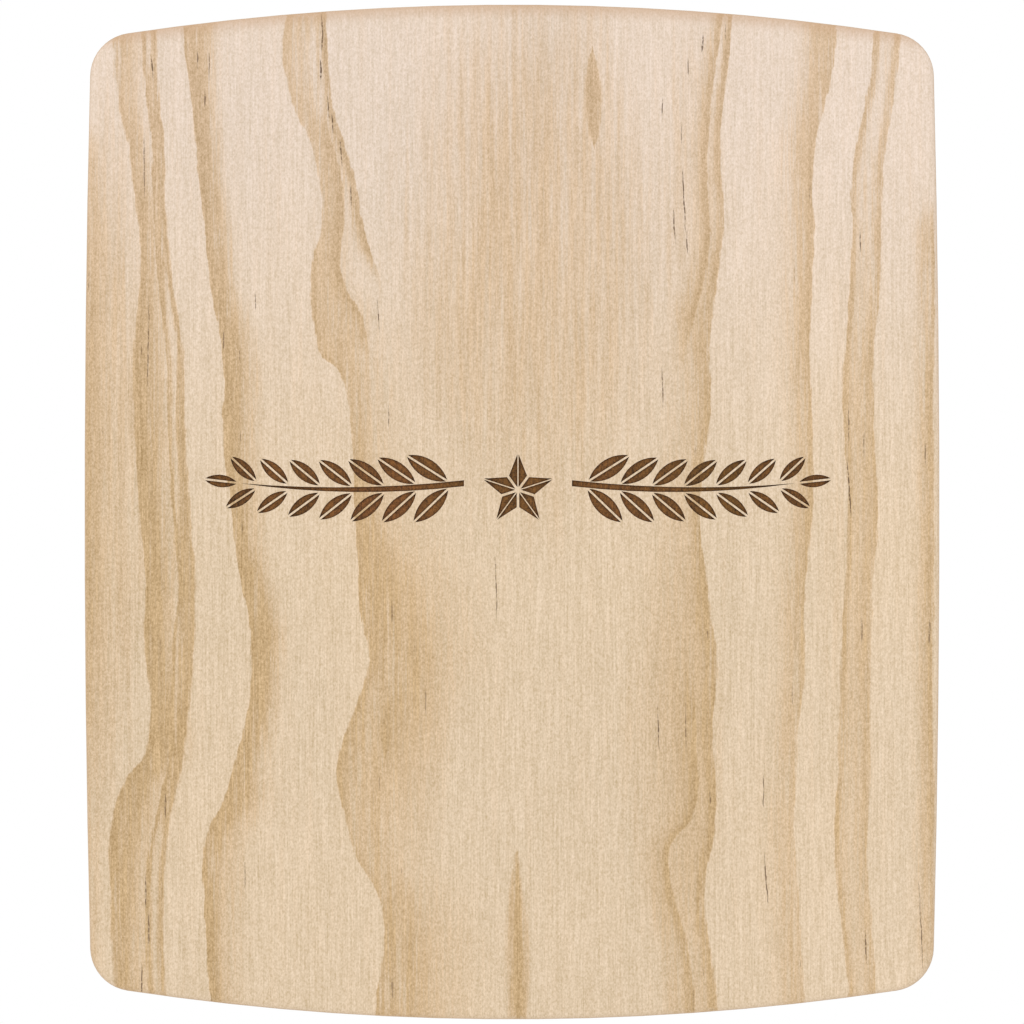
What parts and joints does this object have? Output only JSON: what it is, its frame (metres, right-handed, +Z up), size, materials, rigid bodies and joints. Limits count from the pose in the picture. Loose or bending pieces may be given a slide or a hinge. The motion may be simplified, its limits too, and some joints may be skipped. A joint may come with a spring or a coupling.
{
  "type": "wall plaque",
  "caption": "Barrel-shaped wooden wall plaque of layered plywood with eased edges, a laurel and star engraved across the face, and a keyhole hanger let into the back.",
  "frame": {"origin": "centre of the flat back face, where the plaque meets the wall", "axes": "+Z up the plaque, +Y out of the back into the wall, +X to the viewer's right; the engraved face looks along -Y"},
  "size_m": [0.214, 0.015, 0.254],
  "materials": {
    "pine_veneer": "sanded, clear satin",
    "core_veneer": "sanded, clear satin",
    "zinc_plated_steel": "satin zinc plate"
  },
  "bodies": {
    "root": {"face_veneer": "pine_veneer", "crossband_front": "core_veneer", "core_ply_front": "core_veneer", "centre_ply": "core_veneer", "core_ply_back": "core_veneer", "crossband_back": "core_veneer", "back_veneer": "pine_veneer", "hanger_plate": "zinc_plated_steel", "hanger_screw_upper": "zinc_plated_steel", "hanger_screw_lower": "zinc_plated_steel"}
  },
  "joints": []
}
